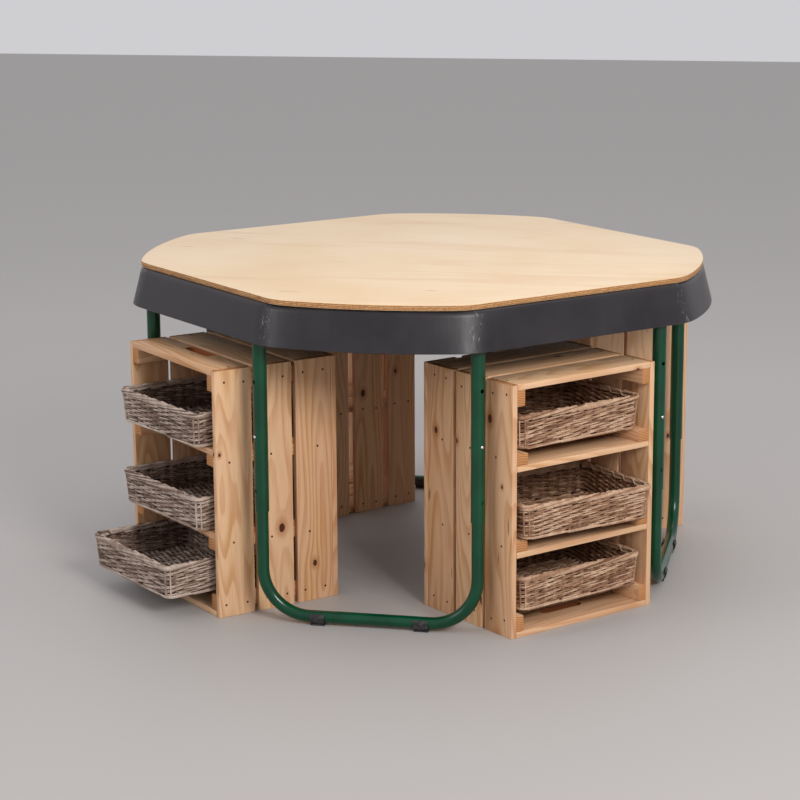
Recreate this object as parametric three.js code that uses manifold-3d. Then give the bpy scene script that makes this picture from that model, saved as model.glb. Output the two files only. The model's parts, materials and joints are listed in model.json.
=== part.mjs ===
// A children's activity table with storage crates under it.
//
// A loose plywood lid lies on a moulded octagonal tray. The tray sits on a tube frame
// whose eight sleeves slide down over four floor hoops and lock with snap buttons.
// Four pine crates stand on end under the tray, and two of them hold three willow
// baskets each. Millimetres, +Z up; the front floor hoop is on the -Y side.

import * as THREE from 'three';
import * as BufferGeometryUtils from 'three/addons/utils/BufferGeometryUtils.js';
import Module from 'manifold-3d';

const wasm = await Module();
wasm.setup();

// ---------- driving dimensions ----------

const GAP = 0.3; // clearance between pieces that rest on or against each other

// Octagon outlines: a is half the width over the four short sides, b half a short side,
// and bow is how far the middle of a short side bulges out.
const LID = { a: 516, b: 172.5, bow: 22, corner: 26, top: 600, thickness: 10 };
const TRAY = { a: 512, b: 187.5, bow: 27, corner: 30, flareA: 17.5, flareB: 2, wall: 3.5 };
const TRAY_SKIRT_BOTTOM = 517.5;
const TRAY_FLOOR_TOP = 550.5;
const TRAY_FLOOR_BOTTOM = 547;

// Stand: legs stand at (+-LEG_SIDE, +-LEG_OUT) and the three other turns of that pair.
const LEG_OUT = 482;
const LEG_SIDE = 196;
const STAND_TURN = -0.015; // the stand is set down slightly turned under the tray
const STAND_SHIFT = { x: -3, y: -1.5 };
const SLEEVE = { outer: 12.7, inner: 11.7, bottom: 207 };
const RAIL_Z = 534;
const RAIL_BEND = 55;
const HOOP = { outer: 11.1, inner: 9.9, bend: 85, runZ: 15, top: 405 };
const HOLE_HEIGHTS = [245, 345, 445];
const BUTTON_HEIGHT = 345;
const HOLE_RADIUS = 3.6;
const BUTTON = { pin: 3.1, flange: 4.6, tip: 14.9, root: 6.6 };
const FOOT = { outer: 14.2, inner: 11.4, width: 26, at: 95, opening: 6 };
const TUBE_SIDES = 12;
const PIN_SIDES = 8;

// Crate, standing on end: width across, depth front to back, height.
const CRATE = { width: 332, depth: 253, height: 460 };
const BOARD = 11;
const SIDE_SLAT = 75;
const BACK_SLAT = 70;
const CORNER_BATTEN = { width: 17, height: 29 };
const SHELF_BATTEN = { width: 25, height: 21 };
const HAND_SLOT = { length: 95, width: 22, fromFront: 62 };
const SHELF_GROOVE = { width: 2, depth: 3 };

// Basket: outer size at the rim, and how much each side draws in to the base.
const BASKET = { width: 284, depth: 212, height: 66, draw: 5, wall: 7, floor: 6, corner: 12 };

// Undersides of a crate's shelf boards, lowest first, and whether the battens that
// carry them run over or under the boards.
const HUNG_SHELVES = { undersides: [146.5, 303], battens: 'over' };
const LAID_SHELVES = { undersides: [146, 302.5], battens: 'under' };
const SINGLE_SHELF = { undersides: [217], battens: 'under' };

// Where the crates stand: middle of the open front face and the way it faces.
const CRATES = [
  { name: 'front_left', x: -404.6, y: -362.4, faces: -136.1, slotAt: 'top', shelves: LAID_SHELVES },
  { name: 'front_right', x: 361, y: -383.9, faces: -42.3, slotAt: 'bottom', shelves: HUNG_SHELVES },
  { name: 'rear_left', x: -384.6, y: 413.5, faces: 138.1, slotAt: 'top', shelves: SINGLE_SHELF },
  { name: 'rear_right', x: 377.5, y: 399, faces: 45, slotAt: 'top', shelves: SINGLE_SHELF },
];

// How far each basket stands out of its crate, how far off centre, and its turn.
const BASKETS = {
  front_left: {
    top: { out: 32, aside: 4, turn: 2.2 },
    middle: { out: 31, aside: 4, turn: 2.2 },
    bottom: { out: 97, aside: 4, turn: 2.2 },
  },
  front_right: {
    top: { out: -9, aside: -4, turn: -0.5 },
    middle: { out: 28, aside: 8, turn: -5 },
    bottom: { out: -5, aside: -5, turn: -0.7 },
  },
};

// ---------- materials ----------

function finish(color, roughness, metalness = 0) {
  return new THREE.MeshStandardMaterial({ color, roughness, metalness });
}

const birchPly = finish('#ecd3a6', 0.55);
const trayPlastic = finish('#3b393d', 0.42);
const greenPaint = finish('#005a3a', 0.28);
const bareSteel = finish('#c9ccce', 0.3, 1);
const footPlastic = finish('#2c2c2e', 0.5);
const pine = finish('#d9ac73', 0.6);
const greyWillow = finish('#8f7c69', 0.7);
const tanWillow = finish('#a4825f', 0.7);

// ---------- solids ----------

function solidOf(geometry) {
  const bare = geometry.clone();
  bare.deleteAttribute('normal');
  bare.deleteAttribute('uv');
  const merged = BufferGeometryUtils.mergeVertices(bare, 1e-4);
  return new wasm.Manifold(new wasm.Mesh({
    numProp: 3,
    vertProperties: new Float32Array(merged.attributes.position.array),
    triVerts: new Uint32Array(merged.index.array),
  }));
}

function geometryOf(solid) {
  const mesh = solid.getMesh();
  const geometry = new THREE.BufferGeometry();
  geometry.setAttribute('position', new THREE.BufferAttribute(mesh.vertProperties, 3));
  geometry.setIndex(new THREE.BufferAttribute(mesh.triVerts, 1));
  geometry.computeVertexNormals();
  return geometry;
}

function joined(geometries) {
  return geometries.map(solidOf).reduce((whole, piece) => whole.add(piece));
}

function cutBy(solid, geometries) {
  return geometries.map(solidOf).reduce((rest, tool) => rest.subtract(tool), solid);
}

function block([x0, x1], [y0, y1], [z0, z1]) {
  const box = new THREE.BoxGeometry(x1 - x0, y1 - y0, z1 - z0);
  return box.translate((x0 + x1) / 2, (y0 + y1) / 2, (z0 + z1) / 2);
}

function uprightRod(x, y, z0, z1, radius) {
  const rod = new THREE.CylinderGeometry(radius, radius, z1 - z0, TUBE_SIDES);
  return rod.rotateX(Math.PI / 2).translate(x, y, (z0 + z1) / 2);
}

// A pin lying along the direction at the given angle, from one distance to another.
function radialPin(x, y, z, angle, from, to, radius) {
  const pin = new THREE.CylinderGeometry(radius, radius, to - from, PIN_SIDES);
  return pin.rotateZ(-Math.PI / 2).translate((from + to) / 2, 0, 0).rotateZ(angle).translate(x, y, z);
}

// A closed body through rings of points, with a flat cap on the first and last ring.
function loft(rings) {
  const count = rings[0].length;
  const positions = rings.flat().flatMap((point) => [point.x, point.y, point.z]);
  const index = [];
  for (let ring = 0; ring < rings.length - 1; ring += 1) {
    for (let i = 0; i < count; i += 1) {
      const next = (i + 1) % count;
      const [p, q] = [ring * count + i, ring * count + next];
      const [r, s] = [p + count, q + count];
      index.push(p, r, q, q, r, s);
    }
  }
  for (const [ring, flip] of [[rings[0], false], [rings.at(-1), true]]) {
    const first = flip ? (rings.length - 1) * count : 0;
    const faces = THREE.ShapeUtils.triangulateShape(ring.map((p) => new THREE.Vector2(p.x, p.y)), []);
    for (const [i, j, k] of faces) {
      index.push(first + i, first + (flip ? k : j), first + (flip ? j : k));
    }
  }
  const geometry = new THREE.BufferGeometry();
  geometry.setAttribute('position', new THREE.Float32BufferAttribute(positions, 3));
  geometry.setIndex(index);
  return geometry;
}

// A line through given stations, used by ExtrudeGeometry exactly as they are.
class Route extends THREE.Curve {
  constructor(stations) {
    super();
    this.stations = stations;
  }

  getUtoTmapping(u) {
    return u;
  }

  getPoint(t, target = new THREE.Vector3()) {
    const place = t * (this.stations.length - 1);
    const index = Math.min(Math.floor(place + 1e-6), this.stations.length - 2);
    return target.lerpVectors(this.stations[index], this.stations[index + 1], place - index);
  }

  getTangent(t, target = new THREE.Vector3()) {
    const last = this.stations.length - 1;
    const index = Math.round(t * last);
    const here = this.stations[index];
    const before = this.stations[Math.max(index - 1, 0)];
    const after = this.stations[Math.min(index + 1, last)];
    const arriving = here.clone().sub(before).normalize();
    const leaving = after.clone().sub(here).normalize();
    return target.copy(arriving).add(leaving).normalize();
  }
}

// Stations of a bent bar: straight between the corners, with an arc at each inner corner.
function bentRoute(corners, radius, steps) {
  const stations = [corners[0].clone()];
  for (let i = 1; i < corners.length - 1; i += 1) {
    const arriving = corners[i].clone().sub(corners[i - 1]).normalize();
    const leaving = corners[i + 1].clone().sub(corners[i]).normalize();
    const turn = arriving.angleTo(leaving);
    const start = corners[i].clone().addScaledVector(arriving, -radius * Math.tan(turn / 2));
    const side = leaving.clone().addScaledVector(arriving, -Math.cos(turn)).normalize();
    for (let step = 0; step <= steps; step += 1) {
      const angle = (turn * step) / steps;
      stations.push(start.clone()
        .addScaledVector(arriving, radius * Math.sin(angle))
        .addScaledVector(side, radius * (1 - Math.cos(angle))));
    }
  }
  stations.push(corners.at(-1).clone());
  return new Route(stations);
}

function bar(route, radius, bore = 0) {
  const section = new THREE.Shape().absarc(0, 0, radius, 0, Math.PI * 2);
  if (bore > 0) {
    section.holes.push(new THREE.Path().absarc(0, 0, bore, 0, Math.PI * 2, true));
  }
  return new THREE.ExtrudeGeometry(section, {
    steps: route.stations.length - 1,
    curveSegments: TUBE_SIDES / 2,
    extrudePath: route,
  });
}

function part(name, geometry, material) {
  const mesh = new THREE.Mesh(geometry, material);
  mesh.name = name;
  return mesh;
}

// ---------- lid and tray ----------

// Quadratic curve that rounds a corner off between two points on its sides.
function roundedCorner(before, corner, after, size, points) {
  const start = corner.clone().lerp(before, size / corner.distanceTo(before));
  const end = corner.clone().lerp(after, size / corner.distanceTo(after));
  return new THREE.QuadraticBezierCurve(start, corner, end).getPoints(points);
}

// The octagon's outline, anticlockwise: four bowed short sides and four straight long ones.
function octagon(a, b, bow, corner) {
  const arcRadius = (b * b) / (2 * bow) + bow / 2;
  const halfAngle = Math.asin(b / arcRadius);
  const side = [];
  for (let step = -1; step <= 1; step += 0.25) {
    const angle = halfAngle * step;
    side.push(new THREE.Vector2(
      arcRadius * Math.sin(angle),
      -(a + bow - arcRadius) - arcRadius * Math.cos(angle),
    ));
  }
  const centre = new THREE.Vector2();
  const sides = [0, 1, 2, 3].map((turn) => (
    side.map((point) => point.clone().rotateAround(centre, (turn * Math.PI) / 2))
  ));
  return sides.flatMap((points, turn) => {
    const previous = sides[(turn + 3) % 4].at(-1);
    const next = sides[(turn + 1) % 4][0];
    return [
      ...roundedCorner(previous, points[0], points[1], corner, 4),
      ...points.slice(1, -1),
      ...roundedCorner(points.at(-2), points.at(-1), next, corner, 4),
    ];
  });
}

function makeLid() {
  const outline = new THREE.Shape(octagon(LID.a, LID.b, LID.bow, LID.corner));
  const plate = new THREE.ExtrudeGeometry(outline, { depth: LID.thickness, bevelEnabled: false });
  return part('lid_board', plate.translate(0, 0, LID.top - LID.thickness), birchPly);
}

// One ring of the tray's shell: flare 1 is the skirt's lower edge and 0 its shoulder.
function trayRing(flare, inset, z) {
  const a = TRAY.a + flare * TRAY.flareA - inset;
  const b = TRAY.b + flare * TRAY.flareB - inset * Math.tan(Math.PI / 8);
  return octagon(a, b, TRAY.bow, TRAY.corner).map((p) => new THREE.Vector3(p.x, p.y, z));
}

function makeTray() {
  const rim = LID.top - LID.thickness - GAP;
  const wall = TRAY.wall;
  const upperSkin = [
    trayRing(0, 42, TRAY_FLOOR_TOP),
    trayRing(0, 36, TRAY_FLOOR_TOP + 5),
    trayRing(0, 28, rim - 2.5),
    trayRing(0, 24, rim),
    trayRing(0, 8, rim),
    trayRing(0, 2.4, rim - 2.6),
    trayRing(0, 0, rim - 8),
    trayRing(1, 0, TRAY_SKIRT_BOTTOM),
  ];
  const lowerSkin = [
    trayRing(1, wall, TRAY_SKIRT_BOTTOM),
    trayRing(0, wall, rim - 9),
    trayRing(0, 8, rim - wall),
    trayRing(0, 24 - wall, rim - wall),
    trayRing(0, 32, TRAY_FLOOR_BOTTOM + 6),
    trayRing(0, 39, TRAY_FLOOR_BOTTOM),
  ];
  return part('tray', loft([...upperSkin, ...lowerSkin]), trayPlastic);
}

// ---------- stand ----------

const SIDES = ['front', 'right', 'rear', 'left'];

// Feet of the two legs on one side of the stand, before that side is turned into place.
const LEG_PAIR = [
  { hand: 'a', x: -LEG_SIDE, y: -LEG_OUT, outward: (-3 * Math.PI) / 4 },
  { hand: 'b', x: LEG_SIDE, y: -LEG_OUT, outward: -Math.PI / 4 },
];

function quarterRing(turn) {
  const corners = [
    new THREE.Vector3(-1, -LEG_OUT, RAIL_Z),
    new THREE.Vector3(LEG_SIDE, -LEG_OUT, RAIL_Z),
    new THREE.Vector3(LEG_OUT, -LEG_SIDE, RAIL_Z),
    new THREE.Vector3(LEG_OUT, 1, RAIL_Z),
  ];
  const axis = new THREE.Vector3(0, 0, 1);
  return bentRoute(corners.map((p) => p.applyAxisAngle(axis, turn)), RAIL_BEND, 3);
}

// Upper frame: an eight-sided ring of tube with a sleeve welded under each corner.
function makeUpperFrame() {
  const turns = [0, 1, 2, 3].map((side) => (side * Math.PI) / 2);
  const outside = [];
  const inside = [];
  const holes = [];
  for (const turn of turns) {
    outside.push(bar(quarterRing(turn), SLEEVE.outer));
    inside.push(bar(quarterRing(turn), SLEEVE.inner));
    for (const leg of LEG_PAIR) {
      const [x, y] = [leg.x, leg.y];
      outside.push(uprightRod(x, y, SLEEVE.bottom, RAIL_Z, SLEEVE.outer).rotateZ(turn));
      inside.push(uprightRod(x, y, SLEEVE.bottom - 1, RAIL_Z, SLEEVE.inner).rotateZ(turn));
      for (const z of HOLE_HEIGHTS) {
        holes.push(radialPin(x, y, z, leg.outward, 6, 20, HOLE_RADIUS).rotateZ(turn));
      }
    }
  }
  const frame = cutBy(joined(outside), [...inside, ...holes]);
  return part('upper_frame', geometryOf(frame), greenPaint);
}

function makeHoop(side) {
  const corners = [
    new THREE.Vector3(-LEG_SIDE, -LEG_OUT, HOOP.top),
    new THREE.Vector3(-LEG_SIDE, -LEG_OUT, HOOP.runZ),
    new THREE.Vector3(LEG_SIDE, -LEG_OUT, HOOP.runZ),
    new THREE.Vector3(LEG_SIDE, -LEG_OUT, HOOP.top),
  ];
  const tube = solidOf(bar(bentRoute(corners, HOOP.bend, 7), HOOP.outer, HOOP.inner));
  const holes = LEG_PAIR.map((leg) => (
    radialPin(leg.x, leg.y, BUTTON_HEIGHT, leg.outward, 6, 20, HOLE_RADIUS)
  ));
  return part(`floor_hoop_${side}`, geometryOf(cutBy(tube, holes)), greenPaint);
}

// Snap button: a domed pin on a flange, riveted to a leaf spring inside the tube.
function makeButton(side, leg) {
  const profile = [
    [0, BUTTON.root], [BUTTON.flange, BUTTON.root], [BUTTON.flange, BUTTON.root + 1.4],
    [BUTTON.pin, BUTTON.root + 1.4], [BUTTON.pin, BUTTON.tip - 1.6],
    [BUTTON.pin * 0.7, BUTTON.tip - 0.5], [0, BUTTON.tip],
  ].map(([radius, along]) => new THREE.Vector2(radius, along));
  const pin = new THREE.LatheGeometry(profile, PIN_SIDES).rotateZ(-Math.PI / 2);
  const leaf = block([BUTTON.root - 0.8, BUTTON.root + 0.1], [-3.6, 3.6], [-28, 28]);
  const button = geometryOf(joined([pin, leaf]));
  button.rotateZ(leg.outward).translate(leg.x, leg.y, BUTTON_HEIGHT);
  return part(`snap_button_${side}_${leg.hand}`, button, bareSteel);
}

// Foot: a plastic clip snapped up round the hoop's floor run.
function makeFoot(side, hand, x) {
  const half = FOOT.width / 2;
  const lying = (radius, length) => new THREE.CylinderGeometry(radius, radius, length, TUBE_SIDES)
    .rotateZ(Math.PI / 2)
    .translate(x, -LEG_OUT, HOOP.runZ);
  const pad = block([x - half, x + half], [-LEG_OUT - 9, -LEG_OUT + 9], [0, HOOP.runZ - 8]);
  const mouth = block(
    [x - half - 1, x + half + 1],
    [-LEG_OUT - 20, -LEG_OUT + 20],
    [HOOP.runZ + FOOT.opening, HOOP.runZ + 20],
  );
  const clip = cutBy(joined([lying(FOOT.outer, FOOT.width), pad]), [lying(FOOT.inner, 40), mouth]);
  return part(`foot_${side}_${hand}`, geometryOf(clip), footPlastic);
}

function makeStand() {
  const stand = new THREE.Group();
  stand.add(makeUpperFrame());
  SIDES.forEach((side, index) => {
    const quarter = new THREE.Group();
    quarter.add(makeHoop(side));
    for (const leg of LEG_PAIR) {
      quarter.add(makeButton(side, leg));
      quarter.add(makeFoot(side, leg.hand, Math.sign(leg.x) * FOOT.at));
    }
    quarter.rotation.z = (index * Math.PI) / 2;
    stand.add(quarter);
  });
  stand.rotation.z = STAND_TURN;
  stand.position.set(STAND_SHIFT.x, STAND_SHIFT.y, 0);
  return stand;
}

// ---------- crates: open front at y = 0 facing +Y, back at y = -depth ----------

const INNER_BACK = -CRATE.depth + BOARD;
const INNER_SIDE = CRATE.width / 2 - BOARD;

// Front-to-back spans of three boards that fill the depth with equal gaps.
function depthSpans() {
  const length = CRATE.depth - BOARD - GAP;
  const gap = (length - 3 * SIDE_SLAT) / 2;
  return [0, 1, 2].map((i) => {
    const front = -i * (SIDE_SLAT + gap);
    return [front - SIDE_SLAT, front];
  });
}

// Side panel: three upright slats and the battens that carry the shelves.
function makeSide(hand, shelves) {
  const across = (inner, outer) => (hand > 0 ? [inner, outer] : [-outer, -inner]);
  const slats = depthSpans().map((span) => (
    block(across(INNER_SIDE, CRATE.width / 2), span, [0, CRATE.height])
  ));
  const low = shelves.battens === 'over' ? BOARD + GAP : -SHELF_BATTEN.height;
  const high = shelves.battens === 'over' ? BOARD + SHELF_BATTEN.height : -GAP;
  const battens = shelves.undersides.map((z) => block(
    across(INNER_SIDE - SHELF_BATTEN.width, INNER_SIDE + 0.1),
    [INNER_BACK + GAP, 0],
    [z + low, z + high],
  ));
  return geometryOf(joined([...slats, ...battens]));
}

function handSlot(z) {
  const half = HAND_SLOT.length / 2 - HAND_SLOT.width / 2;
  const outline = new THREE.Shape()
    .absarc(half, 0, HAND_SLOT.width / 2, -Math.PI / 2, Math.PI / 2)
    .absarc(-half, 0, HAND_SLOT.width / 2, Math.PI / 2, (3 * Math.PI) / 2);
  const tool = new THREE.ExtrudeGeometry(outline, { depth: 30, bevelEnabled: false, curveSegments: 6 });
  return tool.translate(0, -HAND_SLOT.fromFront, z - 15);
}

// Top or bottom end: three boards across, nailed to a batten in each corner.
function makeEnd(atTop, slotted) {
  const up = (low, high) => (atTop ? [CRATE.height - high, CRATE.height - low] : [low, high]);
  const reach = INNER_SIDE - GAP;
  const boards = depthSpans().map((span) => block([-reach, reach], span, up(0, BOARD)));
  const battens = [-1, 1].map((hand) => {
    const spanX = [reach - CORNER_BATTEN.width, reach].map((x) => x * hand).sort((p, q) => p - q);
    return block(spanX, [INNER_BACK + GAP, 0], up(BOARD - 0.1, BOARD + CORNER_BATTEN.height));
  });
  const panel = joined([...boards, ...battens]);
  return geometryOf(slotted ? cutBy(panel, [handSlot(atTop ? CRATE.height : 0)]) : panel);
}

// Shelf: three boards close together, their joints shown as grooves.
function shelfSolid(underside, back) {
  const reach = INNER_SIDE - GAP;
  const plate = solidOf(block([-reach, reach], [back, 0], [underside, underside + BOARD]));
  const half = SHELF_GROOVE.width / 2;
  const grooves = [1, 2].flatMap((i) => {
    const y = (i * INNER_BACK) / 3;
    return [underside, underside + BOARD].map((z) => block(
      [-reach - 1, reach + 1],
      [y - half, y + half],
      [z - SHELF_GROOVE.depth, z + SHELF_GROOVE.depth],
    ));
  });
  return cutBy(plate, grooves);
}

function backBoards() {
  const pitch = (CRATE.width - BACK_SLAT) / 3;
  return [0, 1, 2, 3].map((i) => {
    const x = -CRATE.width / 2 + i * pitch;
    return block([x, x + BACK_SLAT], [-CRATE.depth, INNER_BACK], [0, CRATE.height]);
  });
}

function makeBasket(name, level, place, material) {
  const ring = (grow, z) => {
    const [w, d, r] = [BASKET.width / 2 + grow, BASKET.depth / 2 + grow, BASKET.corner];
    const outline = new THREE.Shape()
      .absarc(w - r, -d + r, r, -Math.PI / 2, 0)
      .absarc(w - r, d - r, r, 0, Math.PI / 2)
      .absarc(-w + r, d - r, r, Math.PI / 2, Math.PI)
      .absarc(-w + r, -d + r, r, Math.PI, Math.PI * 1.5);
    return outline.getPoints(3).slice(0, -1).map((p) => new THREE.Vector3(p.x, p.y, z));
  };
  const shell = loft([
    ring(-BASKET.draw - BASKET.wall, BASKET.floor),
    ring(-BASKET.wall, BASKET.height),
    ring(0, BASKET.height),
    ring(-BASKET.draw, 0),
  ]);
  shell.translate(0, -BASKET.depth / 2, 0);
  const basket = part(name, shell, material);
  basket.rotation.z = THREE.MathUtils.degToRad(place.turn);
  basket.position.set(place.aside, place.out, level);
  return basket;
}

// Where a basket rests: on the bottom end's battens, or on a shelf or its battens.
function basketLevels({ undersides, battens }) {
  const rest = battens === 'over' ? SHELF_BATTEN.height : 0;
  const [middle, top] = undersides.map((z) => z + BOARD + rest + GAP);
  return { bottom: BOARD + CORNER_BATTEN.height + GAP, middle, top };
}

function makeCrate({ name, x, y, faces, slotAt, shelves }) {
  const crate = new THREE.Group();
  const add = (piece, geometry) => crate.add(part(`crate_${name}_${piece}`, geometry, pine));
  add('left_side', makeSide(1, shelves));
  add('right_side', makeSide(-1, shelves));
  add('top_end', makeEnd(true, slotAt === 'top'));
  add('bottom_end', makeEnd(false, slotAt === 'bottom'));
  if (shelves === SINGLE_SHELF) {
    const boards = joined(backBoards());
    const deck = shelfSolid(shelves.undersides[0], INNER_BACK - 0.1);
    add('back_and_shelf', geometryOf(deck.add(boards)));
  } else {
    ['lower', 'upper'].forEach((level, i) => {
      add(`shelf_${level}`, geometryOf(shelfSolid(shelves.undersides[i], INNER_BACK + GAP)));
    });
    backBoards().forEach((board, i) => add(`back_board_${i + 1}`, board));
  }
  const willow = name === 'front_left' ? greyWillow : tanWillow;
  for (const [level, place] of Object.entries(BASKETS[name] ?? {})) {
    crate.add(makeBasket(`basket_${name}_${level}`, basketLevels(shelves)[level], place, willow));
  }
  crate.rotation.z = THREE.MathUtils.degToRad(faces - 90);
  crate.position.set(x, y, 0);
  return crate;
}

// ---------- whole object, with its origin under the middle of its box ----------

const contents = new THREE.Group();
contents.add(makeLid(), makeTray(), makeStand(), ...CRATES.map(makeCrate));
contents.updateMatrixWorld(true);
const extent = new THREE.Box3().setFromObject(contents, true);
const middle = extent.getCenter(new THREE.Vector3());
contents.position.set(-middle.x, -middle.y, -extent.min.z);

const table = new THREE.Group();
table.add(contents);
export default table;
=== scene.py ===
# %% [markdown]
# # A children's activity table with storage crates
#
# This lesson dresses a finished frame. The frame already says where every board, tube and
# basket is and how it moves. Here each of them gets its real surface: planed pine boards with
# nails, woven willow, a plywood lid, a moulded tray and enamelled steel tube.
#
# Everything is in metres, +Z up, and every finished piece keeps its object at the origin with
# its place in its mesh, so that a pattern on object coordinates stays put.

import json
import math
import random

import bmesh
import bpy
from mathutils import Matrix, Vector


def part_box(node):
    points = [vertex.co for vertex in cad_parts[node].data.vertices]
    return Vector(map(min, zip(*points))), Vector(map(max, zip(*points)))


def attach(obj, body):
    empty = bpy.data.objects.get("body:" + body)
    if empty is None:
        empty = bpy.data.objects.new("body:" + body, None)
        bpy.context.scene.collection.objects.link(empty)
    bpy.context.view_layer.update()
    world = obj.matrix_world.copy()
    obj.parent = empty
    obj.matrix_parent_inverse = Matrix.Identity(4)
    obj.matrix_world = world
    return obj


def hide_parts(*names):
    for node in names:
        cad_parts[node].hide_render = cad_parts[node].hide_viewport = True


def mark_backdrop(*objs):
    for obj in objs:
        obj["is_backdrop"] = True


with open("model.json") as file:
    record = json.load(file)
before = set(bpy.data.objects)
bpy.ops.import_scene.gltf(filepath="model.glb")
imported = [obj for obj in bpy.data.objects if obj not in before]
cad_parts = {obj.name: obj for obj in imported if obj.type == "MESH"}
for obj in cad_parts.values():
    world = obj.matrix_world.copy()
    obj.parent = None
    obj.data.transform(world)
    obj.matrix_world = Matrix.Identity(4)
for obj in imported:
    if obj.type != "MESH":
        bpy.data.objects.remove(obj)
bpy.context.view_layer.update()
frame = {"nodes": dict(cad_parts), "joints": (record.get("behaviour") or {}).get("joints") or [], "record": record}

# %% [markdown]
# ## Helpers for meshes
#
# A piece starts as a bmesh, gets a few operators, and becomes an object with its finish in one
# call. A second call says which body it rides on and which frame nodes it stands for, and hides
# those nodes.

# %% Turning a bmesh into a finished piece
SMOOTH_ANGLE = math.radians(35)


def finish_mesh(bm, name, materials, smooth=True):
    mesh = bpy.data.meshes.new(name)
    bm.to_mesh(mesh)
    bm.free()
    for material in materials:
        mesh.materials.append(material)
    if smooth:
        mesh.shade_smooth()
        mesh.set_sharp_from_angle(angle=SMOOTH_ANGLE)
    piece = bpy.data.objects.new(name, mesh)
    bpy.context.scene.collection.objects.link(piece)
    return piece


def place_piece(piece, body, nodes=()):
    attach(piece, body)
    if nodes:
        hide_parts(*nodes)
    return piece


def curve_mesh(curve):
    """The mesh of a bevelled curve."""
    holder = bpy.data.objects.new(curve.name, curve)
    bpy.context.scene.collection.objects.link(holder)
    bpy.context.view_layer.update()
    graph = bpy.context.evaluated_depsgraph_get()
    mesh = bpy.data.meshes.new_from_object(holder.evaluated_get(graph))
    bpy.data.objects.remove(holder)
    return mesh


def apply_modifiers(piece):
    graph = bpy.context.evaluated_depsgraph_get()
    made = bpy.data.meshes.new_from_object(piece.evaluated_get(graph))
    old = piece.data
    piece.modifiers.clear()
    piece.data = made
    bpy.data.meshes.remove(old)
    return piece


# %% [markdown]
# ## Helpers for materials
#
# A node tree is easier to read as formulas. `Recipe` adds one node per call and returns its
# output, so that a finish reads from top to bottom: coordinates, pattern, colour, bump.

# %% A small recipe book for shader nodes
class Recipe:
    def __init__(self, name, roughness=0.5, specular=0.5):
        self.material = bpy.data.materials.new(name)
        self.material.use_nodes = True
        self.tree = self.material.node_tree
        self.shader = self.tree.nodes["Principled BSDF"]
        self.shader.inputs["Roughness"].default_value = roughness
        self.shader.inputs["Specular IOR Level"].default_value = specular

    def node(self, kind, inputs=None, output=0, **settings):
        made = self.tree.nodes.new(kind)
        for key, value in settings.items():
            setattr(made, key, value)
        for key, value in (inputs or {}).items():
            socket = made.inputs[key]
            if isinstance(value, bpy.types.NodeSocket):
                self.tree.links.new(value, socket)
            else:
                socket.default_value = value
        return made.outputs[output]

    def math(self, operation, a, b=0.0):
        return self.node("ShaderNodeMath", {0: a, 1: b}, operation=operation)

    def plus(self, a, b):
        return self.math("ADD", a, b)

    def minus(self, a, b):
        return self.math("SUBTRACT", a, b)

    def times(self, a, b):
        return self.math("MULTIPLY", a, b)

    def over(self, a, b):
        return self.math("DIVIDE", a, b)

    def object_coords(self):
        return self.node("ShaderNodeTexCoord", output="Object")

    def uv(self, name):
        return self.node("ShaderNodeUVMap", uv_map=name)

    def attribute(self, name):
        return self.node("ShaderNodeAttribute", output="Fac", attribute_name=name)

    def scaled(self, vector, scale, shift=(0, 0, 0)):
        return self.node("ShaderNodeMapping", {"Vector": vector, "Scale": scale, "Location": shift})

    def split(self, vector):
        node = self.tree.nodes.new("ShaderNodeSeparateXYZ")
        self.tree.links.new(vector, node.inputs[0])
        return node.outputs[0], node.outputs[1], node.outputs[2]

    def combine(self, x, y, z=0.0):
        return self.node("ShaderNodeCombineXYZ", {0: x, 1: y, 2: z})

    def noise(self, vector, scale, detail=2.0, roughness=0.5, distortion=0.0):
        inputs = {"Vector": vector, "Scale": scale, "Detail": detail,
                  "Roughness": roughness, "Distortion": distortion}
        return self.node("ShaderNodeTexNoise", inputs, output="Fac")

    def smooth(self, value, low, high, start=0.0, end=1.0):
        inputs = {"Value": value, 1: low, 2: high, 3: start, 4: end}
        return self.node("ShaderNodeMapRange", inputs, interpolation_type="SMOOTHSTEP")

    def mix(self, factor, first, second, blend="MIX"):
        node = self.tree.nodes.new("ShaderNodeMix")
        node.data_type = "RGBA"
        node.blend_type = blend
        for index, value in ((0, factor), (6, first), (7, second)):
            socket = node.inputs[index]
            if isinstance(value, bpy.types.NodeSocket):
                self.tree.links.new(value, socket)
            else:
                socket.default_value = value if isinstance(value, float) else (*value, 1.0)[:4]
        return node.outputs[2]

    def bump(self, height, distance, strength=1.0, normal=None):
        inputs = {"Height": height, "Distance": distance, "Strength": strength}
        if normal is not None:
            inputs["Normal"] = normal
        return self.node("ShaderNodeBump", inputs, output="Normal")

    def finish(self, **sockets):
        for key, value in sockets.items():
            socket = self.shader.inputs[key.replace("_", " ")]
            if isinstance(value, bpy.types.NodeSocket):
                self.tree.links.new(value, socket)
            else:
                socket.default_value = value
        return self.material


def linear(red, green, blue):
    """A colour given as 0-255 display values, as the linear colour that a shader wants."""
    def channel(value):
        value /= 255
        return value / 12.92 if value <= 0.04045 else ((value + 0.055) / 1.055) ** 2.4
    return channel(red), channel(green), channel(blue)
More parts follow.
